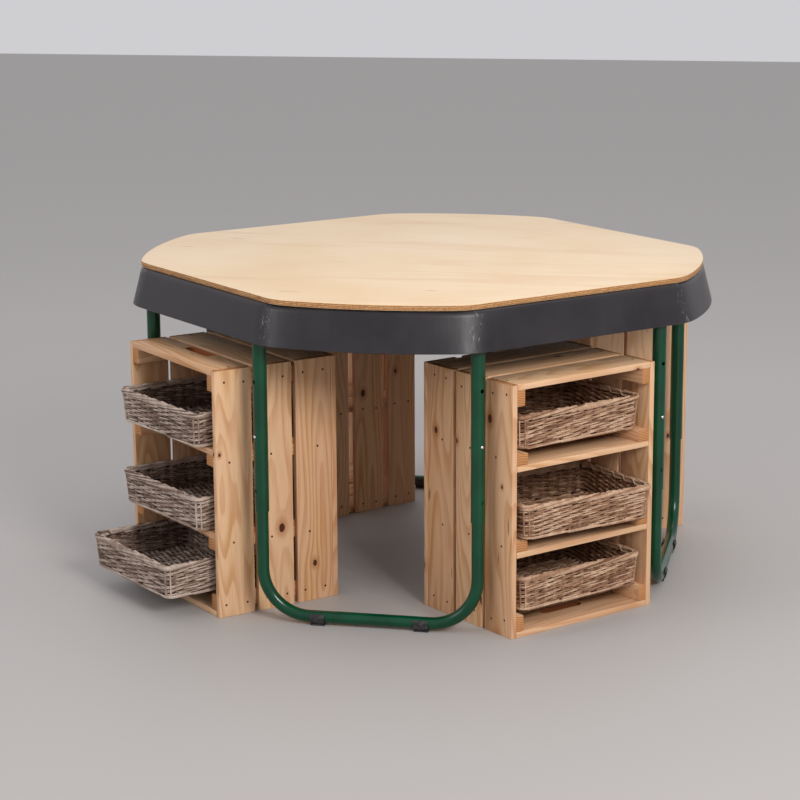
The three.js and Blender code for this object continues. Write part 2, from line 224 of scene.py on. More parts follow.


# %% [markdown]
# ## Planed pine
#
# Each board is a slice of a different place in a tree, so a pattern on object coordinates,
# which would run on from board to board, looks wrong. Every board therefore carries a UV map
# in metres, with u along its grain and v across it, shifted to a place of its own, and a
# `tone` attribute that makes some boards paler and some redder at random. The battens, back
# boards and shelves, which sit inside a crate, have their tone pushed redder and darker as
# painted shade.
#
# The rings are contour lines of a stretched noise, which gives the long pointed arches of a
# plain-sawn board. A Voronoi cell marks where a branch was: the contour lines part round its
# middle, and the knot itself is a dark disc with rings of its own.

# %% Pine, long grain
def make_pine(name, pale, ring, knot_dark):
    recipe = Recipe(name, roughness=0.6, specular=0.3)
    uv = recipe.uv("grain")
    tone = recipe.attribute("tone")

    cell = recipe.tree.nodes.new("ShaderNodeTexVoronoi")
    cell.voronoi_dimensions = "2D"
    cell.inputs["Scale"].default_value = 7.5
    recipe.tree.links.new(uv, cell.inputs["Vector"])
    chosen, size, _ = recipe.split(cell.outputs["Color"])
    is_knot = recipe.math("GREATER_THAN", chosen, 0.60)
    centre_u, centre_v, _ = recipe.split(cell.outputs["Position"])
    u, v, _ = recipe.split(uv)
    across = recipe.minus(v, centre_v)
    along = recipe.minus(u, centre_u)
    near = recipe.plus(recipe.math("POWER", recipe.over(along, 0.030), 2.0),
                       recipe.math("POWER", recipe.over(across, 0.014), 2.0))
    fading = recipe.math("EXPONENT", recipe.times(near, -1.0))
    pull = recipe.times(recipe.times(fading, is_knot), 0.85)
    bent_v = recipe.minus(v, recipe.times(across, pull))

    flow = recipe.combine(recipe.times(u, 1.5), recipe.times(bent_v, 13.0))
    swell = recipe.noise(flow, 1.0, detail=1.2, roughness=0.4)
    wander = recipe.noise(recipe.scaled(uv, (6, 40, 1)), 1.0, detail=2)
    sway = recipe.plus(recipe.times(swell, 17.0), recipe.times(wander, 0.55))
    phase = recipe.plus(recipe.times(bent_v, 45.0), sway)
    saw = recipe.math("FRACT", phase)
    late = recipe.times(recipe.smooth(saw, 0.25, 0.86), recipe.smooth(saw, 1.0, 0.90))

    fibre = recipe.noise(recipe.scaled(uv, (14, 620, 1)), 1.0, detail=3, roughness=0.65)
    patch = recipe.noise(recipe.scaled(uv, (3.2, 17, 1)), 1.0, detail=2)
    strength = recipe.smooth(patch, 0.35, 0.75, 0.35, 0.95)
    wood = recipe.mix(recipe.times(late, strength), pale, ring)
    deep_ring = tuple(c * 0.62 for c in ring)
    wood = recipe.mix(recipe.smooth(fibre, 0.35, 0.8, 0.0, 0.30), wood, deep_ring)
    wood = recipe.mix(recipe.smooth(patch, 0.45, 0.8, 0.0, 0.35), wood, linear(222, 178, 104))
    wood = recipe.mix(tone, wood, linear(176, 112, 74), blend="MULTIPLY")

    squares = recipe.plus(recipe.math("POWER", recipe.over(along, 1.45), 2.0),
                          recipe.math("POWER", across, 2.0))
    radius = recipe.math("SQRT", squares)
    uneven = recipe.noise(recipe.scaled(uv, (260, 260, 1)), 1.0)
    wobble = recipe.times(recipe.minus(uneven, 0.5), 0.0016)
    radius = recipe.plus(radius, wobble)
    reach = recipe.plus(0.0022, recipe.times(size, 0.0042))
    from_middle = recipe.over(radius, reach)
    body = recipe.times(recipe.smooth(from_middle, 1.08, 0.86), is_knot)
    halo = recipe.times(recipe.smooth(from_middle, 3.2, 0.9, 0.0, 0.55), is_knot)
    rings = recipe.math("FRACT", recipe.times(radius, 900.0))
    knot = recipe.mix(rings, knot_dark, tuple(c * 2.1 for c in knot_dark))
    wood = recipe.mix(halo, wood, linear(168, 98, 52))
    wood = recipe.mix(body, wood, knot)

    streak_seed = recipe.noise(recipe.scaled(uv, (9, 75, 1), (4.7, 2.3, 0)), 1.0, detail=1)
    streak = recipe.smooth(streak_seed, 0.745, 0.80, 0.0, 0.75)
    wood = recipe.mix(streak, wood, linear(96, 55, 30))

    relief = recipe.plus(recipe.times(late, -0.35), fibre)
    normal = recipe.bump(relief, 0.00022, 0.6)
    rough = recipe.smooth(fibre, 0.2, 0.8, 0.50, 0.68)
    return recipe.finish(Base_Color=wood, Roughness=rough, Normal=normal)


pine = make_pine("planed_pine", linear(230, 190, 150), linear(196, 138, 92), linear(62, 31, 18))


# %% [markdown]
# Sawn ends show the rings across the grain, as arcs round a heart that is usually outside the
# board, with a darker, thirstier surface. Here the rings are level lines across the end, bowed
# by a slow sine and a little noise in place of the stretched noise.

# %% Pine, end grain
def make_end_grain():
    recipe = Recipe("sawn_pine_end", roughness=0.75, specular=0.2)
    uv = recipe.uv("grain")
    u, v, _ = recipe.split(uv)
    waves = recipe.noise(recipe.scaled(uv, (30, 30, 1)), 1.0, detail=2)
    bow = recipe.times(recipe.math("SINE", recipe.times(u, 21.0)), 0.012)
    height = recipe.plus(recipe.plus(v, bow), recipe.times(waves, 0.006))
    saw = recipe.math("FRACT", recipe.times(height, 330.0))
    wood = recipe.mix(recipe.smooth(saw, 0.3, 0.9), linear(206, 152, 100), linear(150, 86, 48))
    speck = recipe.noise(uv, 1400.0, detail=2)
    wood = recipe.mix(recipe.smooth(speck, 0.5, 0.75, 0.0, 0.4), wood, linear(110, 64, 38))
    return recipe.finish(Base_Color=wood, Normal=recipe.bump(speck, 0.0003, 0.5))


sawn_end = make_end_grain()


# %% [markdown]
# ## Cutting boards
#
# A board is a cube made to size, with its long edges eased as a planer leaves them. Its UV map
# is written here too: u follows the grain, v goes across whichever face is being mapped, and
# the two faces that cut the grain get the end-grain finish.

# %% A board
EASE = 0.0011
BOARD_SEED = 11
board_dice = random.Random(BOARD_SEED)


def add_board(bm, low, high, grain, painted_shade=0.0):
    """One board between two opposite corners, with the grain along axis 0, 1 or 2."""
    low, high = map(Vector, zip(*(sorted(pair) for pair in zip(low, high))))
    uv_layer = bm.loops.layers.uv.get("grain") or bm.loops.layers.uv.new("grain")
    tone_layer = bm.faces.layers.float.get("tone") or bm.faces.layers.float.new("tone")
    size = high - low
    matrix = Matrix.Translation((low + high) / 2) @ Matrix.Diagonal((*size, 1))
    cube = bmesh.ops.create_cube(bm, size=1.0, matrix=matrix)
    edges = list({edge for vert in cube["verts"] for edge in vert.link_edges})
    eased = bmesh.ops.bevel(bm, geom=edges, offset=EASE, segments=2, profile=0.5,
                            affect="EDGES", material=-1, clamp_overlap=True)
    verts = [vert for vert in eased["verts"] + cube["verts"] if vert.is_valid]
    faces = {face for vert in verts for face in vert.link_faces}
    shift_u, shift_v = board_dice.uniform(0, 40), board_dice.uniform(0, 40)
    # The tone is random per board, plus painted shade for the boards that sit inside the crate.
    tone = min(max(painted_shade + board_dice.uniform(-0.10, 0.22), 0.0), 1.0)
    first, second = [axis for axis in range(3) if axis != grain]
    for face in faces:
        normal = [abs(c) for c in face.normal]
        facing = normal.index(max(normal))
        face[tone_layer] = tone
        face.material_index = 1 if facing == grain else 0
        for loop in face.loops:
            place = loop.vert.co
            if facing == grain:
                uv = (place[first] + shift_u, place[second] + shift_v)
            else:
                side = second if facing == first else first
                layer_step = place[facing] * 0.9
                uv = (place[grain] + shift_u, place[side] + shift_v + layer_step)
            loop[uv_layer].uv = uv
    return faces


# %% [markdown]
# ## Where the crates stand
#
# A crate is described once, standing at the origin with its open front facing +Y. Its real
# place comes from the frame: the slide joint's axis says which way it faces, and the middle of
# the box round all its nodes is the middle of the crate.

# %% Crate sizes and places
CRATE_WIDTH, CRATE_DEPTH, CRATE_HEIGHT = 0.332, 0.253, 0.460
BOARD = 0.011
FIT = 0.0003
SIDE_SLAT, BACK_SLAT = 0.075, 0.070
CORNER_BATTEN_W, CORNER_BATTEN_H = 0.017, 0.029
SHELF_BATTEN_W, SHELF_BATTEN_H = 0.025, 0.021
SLOT_LENGTH, SLOT_WIDTH, SLOT_FROM_FRONT = 0.095, 0.022, 0.062
SLOT_MARGIN = 1e-4
SHELF_JOINT = 0.0012
SAW_TOLERANCE = 0.0012
# Painted shade: battens, back boards and shelves sit inside the crate, so their tone is pushed redder and darker.
CROSS_PAINTED_SHADE, BACK_PAINTED_SHADE, SHELF_PAINTED_SHADE = 0.15, 0.12, 0.05
INNER_BACK = -CRATE_DEPTH + BOARD
INNER_SIDE = CRATE_WIDTH / 2 - BOARD

joints = {joint["name"]: joint for joint in frame["joints"]}
bodies = frame["record"]["behaviour"]["bodies"]


def facing_turn(joint_name):
    axis = joints[joint_name]["axis"]
    return math.atan2(axis[1], axis[0]) - math.pi / 2


def crate_matrix(crate):
    corners = [corner for node in bodies[crate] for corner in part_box(node)]
    across = [[corner[i] for corner in corners] for i in (0, 1)]
    middle = Vector([(min(places) + max(places)) / 2 for places in across] + [0])
    turn = Matrix.Rotation(facing_turn(f"{crate}_slide"), 4, "Z")
    return Matrix.Translation(middle) @ turn @ Matrix.Translation((0, CRATE_DEPTH / 2, 0))


CRATES = ["crate_front_left", "crate_front_right", "crate_rear_left", "crate_rear_right"]
SHELVES = {
    "crate_front_left": [0.146, 0.3025], "crate_front_right": [0.1465, 0.303],
    "crate_rear_left": [0.217], "crate_rear_right": [0.217],
}
SLOTTED_END = {crate: "top" for crate in CRATES} | {"crate_front_right": "bottom"}
for crate in CRATES:
    print(crate, "stands at", [round(c, 3) for c in crate_matrix(crate).translation])


def batten_span(crate, underside):
    """Heights of the batten that carries a shelf: it runs under the boards, or over them."""
    if crate == "crate_front_right":
        return underside + BOARD + FIT, underside + BOARD + SHELF_BATTEN_H
    return underside - SHELF_BATTEN_H, underside - FIT


def depth_spans():
    """Front-to-back spans of the three boards that fill the depth of a side or an end."""
    length = CRATE_DEPTH - BOARD - FIT
    gap = (length - 3 * SIDE_SLAT) / 2
    fronts = [-i * (SIDE_SLAT + gap) for i in range(3)]
    return [(front - SIDE_SLAT, front) for front in fronts]


# %% [markdown]
# ## The crate's sides and back
#
# A side is three upright slats held together by the two battens that also carry the shelves.
# Saw tolerances show on such a crate, so each slat is up to a millimetre shorter than the frame
# says.

# %% Sides and back boards
def pine_piece(bm, crate, node, ending):
    """Carry a part from the origin to its crate's place and finish it in pine."""
    bm.transform(crate_matrix(crate))
    piece = finish_mesh(bm, f"{node}_{ending}", [pine, sawn_end])
    return place_piece(piece, crate, [node])


def crate_side(crate, name, hand):
    bm = bmesh.new()
    inner, outer = INNER_SIDE * hand, CRATE_WIDTH / 2 * hand
    for y0, y1 in depth_spans():
        top = CRATE_HEIGHT - board_dice.uniform(0, SAW_TOLERANCE)
        add_board(bm, (inner, y0, 0), (outer, y1, top), 2)
    for underside in SHELVES[crate]:
        edge = (INNER_SIDE - SHELF_BATTEN_W) * hand
        z0, z1 = batten_span(crate, underside)
        add_board(bm, (edge, INNER_BACK + FIT, z0), (inner, 0, z1), 1, CROSS_PAINTED_SHADE)
    return pine_piece(bm, crate, name, "boards")


def back_spans():
    pitch = (CRATE_WIDTH - BACK_SLAT) / 3
    starts = [-CRATE_WIDTH / 2 + i * pitch for i in range(4)]
    return [(start, start + BACK_SLAT) for start in starts]


def add_back_board(bm, span):
    low, high = (span[0], -CRATE_DEPTH, 0), (span[1], INNER_BACK, CRATE_HEIGHT)
    add_board(bm, low, high, 2, BACK_PAINTED_SHADE)


# %% [markdown]
# ## Ends with a hand slot
#
# Each end is three boards across two corner battens. The slot is cut with a Boolean modifier,
# which keeps the board's UV map. A Boolean needs one closed solid, so the front board is cut on
# its own before the others join it. The walls of the slot then get the end-grain finish.

# %% Ends and the hand slot
def slot_cutter(z):
    bm = bmesh.new()
    turn = Matrix.Rotation(math.pi / 32, 4, "Z")
    bmesh.ops.create_cone(bm, cap_ends=True, segments=32, radius1=SLOT_WIDTH / 2,
                          radius2=SLOT_WIDTH / 2, depth=0.04, matrix=turn)
    straight = SLOT_LENGTH / 2 - SLOT_WIDTH / 2
    for vert in bm.verts:
        vert.co.x += straight if vert.co.x > 0 else -straight
    bm.transform(Matrix.Translation((0, -SLOT_FROM_FRONT, z)))
    return finish_mesh(bm, "slot_cutter", [], smooth=False)


def slotted_board(low, high):
    """One board with the hand slot through it, as a bmesh of its own."""
    bm = bmesh.new()
    add_board(bm, low, high, 0)
    board = finish_mesh(bm, "slotted_board", [pine, sawn_end])
    cutter = slot_cutter((low[2] + high[2]) / 2)
    cut = board.modifiers.new("slot", "BOOLEAN")
    cut.operation, cut.object, cut.solver = "DIFFERENCE", cutter, "EXACT"
    apply_modifiers(board)
    cut_board = bmesh.new()
    cut_board.from_mesh(board.data)
    for face in cut_board.faces:
        spot = face.calc_center_median()
        in_length = abs(spot.x) < SLOT_LENGTH / 2 + SLOT_MARGIN
        in_width = abs(spot.y + SLOT_FROM_FRONT) < SLOT_WIDTH / 2 + SLOT_MARGIN
        if in_length and in_width and abs(face.normal.z) < 0.5:
            face.material_index = 1
    bpy.data.objects.remove(cutter)
    bpy.data.objects.remove(board)
    return cut_board


def crate_end(crate, name, level, slotted):
    reach = INNER_SIDE - FIT

    def span(low, high):
        return (CRATE_HEIGHT - high, CRATE_HEIGHT - low) if level == "top" else (low, high)

    front, *others = depth_spans()
    z0, z1 = span(0, BOARD)
    if slotted:
        bm = slotted_board((-reach, front[0], z0), (reach, front[1], z1))
    else:
        bm = bmesh.new()
        others.append(front)
    for y0, y1 in others:
        add_board(bm, (-reach, y0, z0), (reach, y1, z1), 0)
    for hand in (-1, 1):
        inner, outer = (reach - CORNER_BATTEN_W) * hand, reach * hand
        z0, z1 = span(BOARD, BOARD + CORNER_BATTEN_H)
        add_board(bm, (inner, INNER_BACK + FIT, z0), (outer, 0, z1), 1, CROSS_PAINTED_SHADE)
    return pine_piece(bm, crate, name, "boards")


# %% [markdown]
# ## Shelves
#
# Three boards run across the crate, close together, and the open joints between them show.

# %% Shelf boards
def add_shelf(bm, underside):
    reach = INNER_SIDE - FIT
    width = -(INNER_BACK + FIT) / 3
    for i in range(3):
        front = -i * width
        low = (-reach, front - width + SHELF_JOINT / 2, underside)
        high = (reach, front - (SHELF_JOINT / 2 if i else 0), underside + BOARD)
        add_board(bm, low, high, 0, SHELF_PAINTED_SHADE)


# %% [markdown]
# ## Nails
#
# Wire nails hold the slats: two at each end of a slat, and one where a slat crosses a batten.
# Each head is a flat ten-sided cone, half sunk in the board, so that a third of a millimetre
# stands proud.

# %% Nails
NAIL_RADIUS, NAIL_HEAD = 0.0026, 0.0007
NAIL_WANDER = 0.0035
SIDE_NAIL_END, BACK_NAIL_END, NAIL_EDGE = 0.024, 0.020, 0.018


def add_nail(bm, place, outward):
    turn = Vector((0, 0, 1)).rotation_difference(Vector(outward)).to_matrix().to_4x4()
    wander = Vector([board_dice.uniform(-NAIL_WANDER, NAIL_WANDER) * (1 - abs(outward[i]))
                     for i in range(3)])
    matrix = Matrix.Translation(Vector(place) + wander) @ turn
    bmesh.ops.create_cone(bm, cap_ends=True, segments=10, radius1=NAIL_RADIUS,
                          radius2=NAIL_RADIUS * 0.7, depth=NAIL_HEAD, matrix=matrix)


def crate_nails(crate):
    bm = bmesh.new()
    side = CRATE_WIDTH / 2
    shelf_nails = [sum(batten_span(crate, underside)) / 2 for underside in SHELVES[crate]]
    for y0, y1 in depth_spans():
        for hand in (-1, 1):
            for z in (SIDE_NAIL_END, CRATE_HEIGHT - SIDE_NAIL_END):
                for y in (y0 + NAIL_EDGE, y1 - NAIL_EDGE):
                    height = z + board_dice.uniform(-0.004, 0.004)
                    add_nail(bm, (side * hand, y, height), (hand, 0, 0))
            for z in shelf_nails:
                y = (y0 + y1) / 2 + board_dice.uniform(-0.014, 0.014)
                add_nail(bm, (side * hand, y, z), (hand, 0, 0))
        for x in (-INNER_SIDE + 0.009, INNER_SIDE - 0.009):
            add_nail(bm, (x, (y0 + y1) / 2, CRATE_HEIGHT), (0, 0, 1))
    for x0, x1 in back_spans():
        shelf_middles = [underside + BOARD / 2 for underside in SHELVES[crate]]
        for z in (BACK_NAIL_END, CRATE_HEIGHT - BACK_NAIL_END, *shelf_middles):
            for x in (x0 + NAIL_EDGE, x1 - NAIL_EDGE):
                add_nail(bm, (x, -CRATE_DEPTH, z), (0, -1, 0))
    bm.transform(crate_matrix(crate))
    piece = finish_mesh(bm, f"{crate}_nails", [nail_steel])
    return place_piece(piece, crate)


def make_nail_steel():
    recipe = Recipe("dull_nail_steel", roughness=0.45, specular=0.4)
    rust = recipe.noise(recipe.object_coords(), 240.0, detail=2)
    colour = recipe.mix(recipe.smooth(rust, 0.4, 0.7), linear(34, 27, 24), linear(66, 44, 33))
    return recipe.finish(Base_Color=colour, Metallic=0.2)


nail_steel = make_nail_steel()

# %% Build all four crates
for crate in CRATES:
    crate_side(crate, f"{crate}_left_side", 1)
    crate_side(crate, f"{crate}_right_side", -1)
    for level in ("top", "bottom"):
        crate_end(crate, f"{crate}_{level}_end", level, SLOTTED_END[crate] == level)
    joined = f"{crate}_back_and_shelf"
    if joined in frame["nodes"]:
        bm = bmesh.new()
        for span in back_spans():
            add_back_board(bm, span)
        add_shelf(bm, SHELVES[crate][0])
        pine_piece(bm, crate, joined, "boards")
    else:
        for i, span in enumerate(back_spans()):
            bm = bmesh.new()
            add_back_board(bm, span)
            pine_piece(bm, crate, f"{crate}_back_board_{i + 1}", "pine")
        for level, underside in zip(("lower", "upper"), SHELVES[crate]):
            bm = bmesh.new()
            add_shelf(bm, underside)
            pine_piece(bm, crate, f"{crate}_shelf_{level}", "pine")
    crate_nails(crate)
print("crates built")

# %% [markdown]
# ## Willow baskets
#
# A willow basket is stakes standing round a base, rods woven in front of one stake and behind
# the next, and a flat border of nearly level rods. It could be faked with a bump map, but the
# rods stand proud and cast shadows, so here they are real. Each stroke of the weave is a short
# open spline with a round bevel that bows over two stakes, outside or inside them. Its
# thickness, height and ends wander a little, as a hand-woven rod's do.

# %% Willow
def make_willow(name, base, pale, dark):
    recipe = Recipe(name, roughness=0.62, specular=0.35)
    place = recipe.object_coords()
    mottle = recipe.noise(place, 55.0, detail=3, roughness=0.6)
    bark = recipe.noise(recipe.scaled(place, (1, 1, 2.4)), 420.0, detail=3, roughness=0.7)
    wood = recipe.mix(recipe.smooth(mottle, 0.35, 0.72), linear(*base), linear(*pale))
    wood = recipe.mix(recipe.smooth(bark, 0.46, 0.74, 0.0, 0.8), wood, linear(*dark))
    normal = recipe.bump(bark, 0.0005, 0.7)
    return recipe.finish(Base_Color=wood, Normal=normal)


# A darkened willow for the sheet behind the weave: painted shade.
willow_shade = make_willow("willow_shade", (46, 31, 24), (62, 43, 33), (28, 19, 15))
# Each set holds a paler, a middle and a darker willow. Rods pick among them at random, and deeper rods lean to the
# darker ones as painted shade.
WILLOW_SETS = {
    "willow_grey": [
        make_willow("grey_willow_pale", (184, 164, 150), (216, 200, 186), (112, 92, 80)),
        make_willow("grey_willow", (146, 122, 108), (184, 162, 146), (80, 62, 52)),
        make_willow("grey_willow_dark", (104, 82, 70), (142, 118, 102), (50, 36, 29)),
    ],
    "willow_tan": [
        make_willow("tan_willow_pale", (188, 152, 124), (216, 186, 156), (116, 82, 62)),
        make_willow("tan_willow", (152, 112, 86), (188, 150, 120), (82, 54, 39)),
        make_willow("tan_willow_dark", (116, 80, 56), (156, 118, 88), (56, 36, 25)),
    ],
}

# %% Basket sizes
RIM_WIDTH, RIM_DEPTH, BASKET_HEIGHT = 0.284, 0.212, 0.066
DRAW_IN = 0.005
CORNER = 0.012
CORNER_ARC = math.pi / 2 * CORNER
STAKES = 44
WEAVE_ROWS, WEAVE_START = 11, 0.0072
STROKE_OVERRUN, STROKE_WANDER = 0.22, 0.09
STROKE_BOW, STROKE_SINK = 0.0034, 0.0016
STAKE_PAIR, CORNER_STAKE_PAIR, CORNER_STAKE_PROUD = 0.06, 0.0052, 0.0019
WALL_INSET = 0.0046
RIM_BAND = 0.0125
BORDER_ROD = 2.0
RIM_MIDDLE = BASKET_HEIGHT - 0.0068
# Each border: height, inset, rods, spread of the rods in height, turns on the way round.
BORDERS = [
    (RIM_MIDDLE, WALL_INSET - 0.0006, 5, 0.0098, 9),
    (RIM_MIDDLE, WALL_INSET + 0.0032, 4, 0.0088, -7),
    (0.0042, WALL_INSET + DRAW_IN - 0.0012, 2, 0.0040, 6),
]
BASKET_TURNS = {
    "basket_front_left_top": 2.2,
    "basket_front_left_middle": 2.2,
    "basket_front_left_bottom": 2.2,
    "basket_front_right_top": -0.5,
    "basket_front_right_middle": -5,
    "basket_front_right_bottom": -0.7,
}


def round_the_side(share, inset):
    """Point at a share of the way round the rounded rectangle."""
    half_x, half_y = RIM_WIDTH / 2 - inset, RIM_DEPTH / 2 - inset
    straight_x, straight_y = 2 * (half_x - CORNER), 2 * (half_y - CORNER)
    left = (share % 1.0) * (2 * straight_x + 2 * straight_y + 4 * CORNER_ARC)
    for turn, straight in enumerate((straight_x, straight_y, straight_x, straight_y)):
        reach, side = (half_y, half_x) if turn % 2 == 0 else (half_x, half_y)
        if left <= straight:
            spot = Vector((-side + CORNER + left, -reach, 0))
            break
        left -= straight
        if left <= CORNER_ARC:
            angle = left / CORNER
            out = Vector((math.sin(angle), -math.cos(angle), 0))
            spot = Vector((side - CORNER, -reach + CORNER, 0)) + out * CORNER
            break
        left -= CORNER_ARC
    return Matrix.Rotation(turn * math.pi / 2, 3, "Z") @ spot


def lean(z):
    """How far in the wall stands at a height, because the basket flares to its rim."""
    return WALL_INSET + DRAW_IN * (1 - z / BASKET_HEIGHT)


def add_rod(curve, points, radius, tone, closed=False):
    spline = curve.splines.new("POLY")
    spline.points.add(len(points) - 1)
    for point, place in zip(spline.points, points):
        point.co = (*place, 1)
        point.radius = radius
    spline.use_cyclic_u = closed
    spline.material_index = tone


def standing_rod(share, heights, proud=0.0):
    return [round_the_side(share, lean(z) - proud) + Vector((0, 0, z)) for z in heights]


# %% Weaving the sides, the floor and the borders
def weave_sides(curve, dice):
    pitch = (BASKET_HEIGHT - RIM_BAND - 0.0012 - WEAVE_START) / WEAVE_ROWS
    for row in range(WEAVE_ROWS):
        for start in range(STAKES):
            outside = 1 if start % 2 == row % 2 else -1
            first = start - STROKE_OVERRUN + dice.uniform(-STROKE_WANDER, STROKE_WANDER)
            last = start + 2 + STROKE_OVERRUN + dice.uniform(-STROKE_WANDER, STROKE_WANDER)
            base = WEAVE_START + pitch * (row + 0.1) + dice.uniform(-0.0005, 0.0005)
            rise = pitch * dice.uniform(0.62, 0.98)
            points = []
            count = 10 if outside > 0 else 6
            for step in range(count + 1):
                part = step / count
                share = (first + (last - first) * part) / STAKES
                arch = abs(math.sin(math.pi * part)) ** 0.7
                bow = outside * (STROKE_BOW * arch - STROKE_SINK)
                height = base + rise * part
                spot = round_the_side(share, lean(height) - bow)
                points.append((spot.x, spot.y, height))
            # Strokes that pass inside the stakes lean to the darker willows: painted shade for the deeper half of
            # the weave. The pick within each set is random, as the rods' own colour varies.
            lit_and_shaded_tones = (0, 0, 0, 1, 1, 2) if outside > 0 else (1, 2, 2)
            add_rod(curve, points, dice.uniform(1.38, 1.72), dice.choice(lit_and_shaded_tones))
    for stake in range(STAKES):
        for twin in (-STAKE_PAIR, STAKE_PAIR):
            share = (stake + twin + dice.uniform(-0.02, 0.02)) / STAKES
            heights = (0.003, BASKET_HEIGHT / 2, BASKET_HEIGHT - 0.006)
            rod = standing_rod(share, heights)
            # Stakes stand behind the weave and get only the middle and darker willows: painted shade.
            add_rod(curve, rod, dice.uniform(1.3, 1.6), dice.choice((1, 2)))


def corner_stakes(curve, dice):
    """Pairs of stakes that stand proud of the weave where it turns each corner."""
    straight_x, straight_y = 2 * (RIM_WIDTH / 2 - CORNER), 2 * (RIM_DEPTH / 2 - CORNER)
    half_way = straight_x + straight_y + 2 * CORNER_ARC
    heights = (0.006, BASKET_HEIGHT / 2, BASKET_HEIGHT - RIM_BAND + 0.002)
    for middle in (straight_x + CORNER_ARC / 2, straight_x + straight_y + CORNER_ARC * 1.5):
        for start in (0, half_way):
            for side in (-CORNER_STAKE_PAIR, CORNER_STAKE_PAIR):
                share = (middle + start + side) / (2 * half_way)
                rod = standing_rod(share, heights, CORNER_STAKE_PROUD)
                # Proud corner stakes get the paler willows, like the outside strokes: painted light for what
                # stands out.
                add_rod(curve, rod, dice.uniform(1.5, 1.8), dice.choice((0, 1)))


def shade_sheet_mesh():
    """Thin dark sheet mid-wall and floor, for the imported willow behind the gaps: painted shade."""
    bm = bmesh.new()
    steps = 96
    loops = []
    for z in (0.0045, BASKET_HEIGHT - 0.007):
        ring = []
        for step in range(steps):
            spot = round_the_side(step / steps, lean(z))
            ring.append(bm.verts.new((spot.x, spot.y, z)))
        loops.append(ring)
    for i in range(steps):
        j = (i + 1) % steps
        bm.faces.new((loops[0][i], loops[0][j], loops[1][j], loops[1][i]))
    bm.faces.new(list(reversed(loops[0])))
    return bm


def border(curve, dice, z, inset, rods, spread, turns):
    """A flat border: nearly level rods that lie against one another and slowly change places."""
    steps = 150
    for index in range(rods):
        points = []
        for step in range(steps):
            share = step / steps
            phase = (index / rods + turns * share) % 1.0
            up = spread * (phase - 0.5)
            over = 0.0016 * math.sin(math.pi * phase)
            spot = round_the_side(share, inset - over)
            points.append((spot.x, spot.y, z + up))
        cut = [i for i in range(1, steps) if points[i][2] < points[i - 1][2] - spread * 0.6]
        for begin, end in zip([0, *cut], [*cut, steps]):
            if end - begin > 2:
                tone = dice.choice((0, 0, 0, 1, 1, 2))
                add_rod(curve, points[begin:end], BORDER_ROD * dice.uniform(0.9, 1.08), tone)


def weave_floor(curve, dice):
    half_x, half_y = RIM_WIDTH / 2 - DRAW_IN - 0.006, RIM_DEPTH / 2 - DRAW_IN - 0.006
    ribs = 12
    for rib in range(ribs):
        x = -half_x + 2 * half_x * (rib + 0.5) / ribs
        add_rod(curve, [(x, -half_y, 0.0046), (x, half_y, 0.0046)], 1.6, 1)
    rows = 34
    for row in range(rows):
        y = -half_y + 2 * half_y * (row + 0.5) / rows
        steps = ribs * 4
        points = []
        for step in range(steps + 1):
            share = step / steps
            wave = math.pi * (ribs * share + row + 0.5)
            z = 0.0050 + 0.0019 * math.sin(wave)
            points.append((-half_x + 2 * half_x * share, y + dice.uniform(-0.0003, 0.0003), z))
        add_rod(curve, points, dice.uniform(2.1, 2.5), dice.choice((0, 1, 1, 2)))


def make_basket(node, body, slot):
    dice = random.Random(sum(ord(letter) for letter in node))
    curve = bpy.data.curves.new(f"{node}_rods", "CURVE")
    curve.dimensions = "3D"
    curve.bevel_depth = 0.001
    curve.bevel_resolution = 2
    curve.use_fill_caps = True
    for material in WILLOW_SETS[slot]:
        curve.materials.append(material)
    weave_sides(curve, dice)
    corner_stakes(curve, dice)
    weave_floor(curve, dice)
    for z, inset, rods, spread, turns in BORDERS:
        border(curve, dice, z, inset, rods, spread, turns)
    woven = curve_mesh(curve)
    # The dark sheet behind the rods is painted shade seen through the gaps in the weave.
    shade_sheet = shade_sheet_mesh()
    for face in shade_sheet.faces:
        face.material_index = len(WILLOW_SETS[slot])
    shade_sheet.from_mesh(woven)
    shade_sheet.to_mesh(woven)
    shade_sheet.free()
    woven.materials.append(willow_shade)
    low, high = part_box(node)
    middle = (low + high) / 2
    angle = facing_turn(f"{node}_slide") + math.radians(BASKET_TURNS[node])
    place = Matrix.Translation((middle.x, middle.y, low.z))
    woven.transform(place @ Matrix.Rotation(angle, 4, "Z"))
    woven.shade_smooth()
    piece = bpy.data.objects.new(f"{node}_woven", woven)
    bpy.context.scene.collection.objects.link(piece)
    return place_piece(piece, body, [node])


slots = {part["node"]: part["material_slot"] for part in frame["record"]["subparts"]}
for node in BASKET_TURNS:
    basket = make_basket(node, node, slots[node])
    print(basket.name, len(basket.data.polygons), "faces")

# %% [markdown]
# ## The octagon
#
# Lid and tray share one outline: four straight long sides, four short sides that bow out a
# little, and small round corners between them. Half its width over the short sides comes from
# the frame; the rest are shares of the shape that the frame's box doesn't tell.

# %% Outline of lid and tray
ARC_STEPS, CORNER_STEPS = 16, 8


def arc_points(a, b, bow, steps):
    radius = b * b / (2 * bow) + bow / 2
    half_angle = math.asin(b / radius)
    angles = [half_angle * (2 * i / steps - 1) for i in range(steps + 1)]
    return [Vector((radius * math.sin(t), -(a + bow - radius) - radius * math.cos(t), 0))
            for t in angles]


def round_corner(before, corner, after, size, steps):
    start = corner.lerp(before, size / (corner - before).length)
    end = corner.lerp(after, size / (corner - after).length)
    shares = [i / steps for i in range(steps + 1)]
    return [start.lerp(corner, t).lerp(corner.lerp(end, t), t) for t in shares]


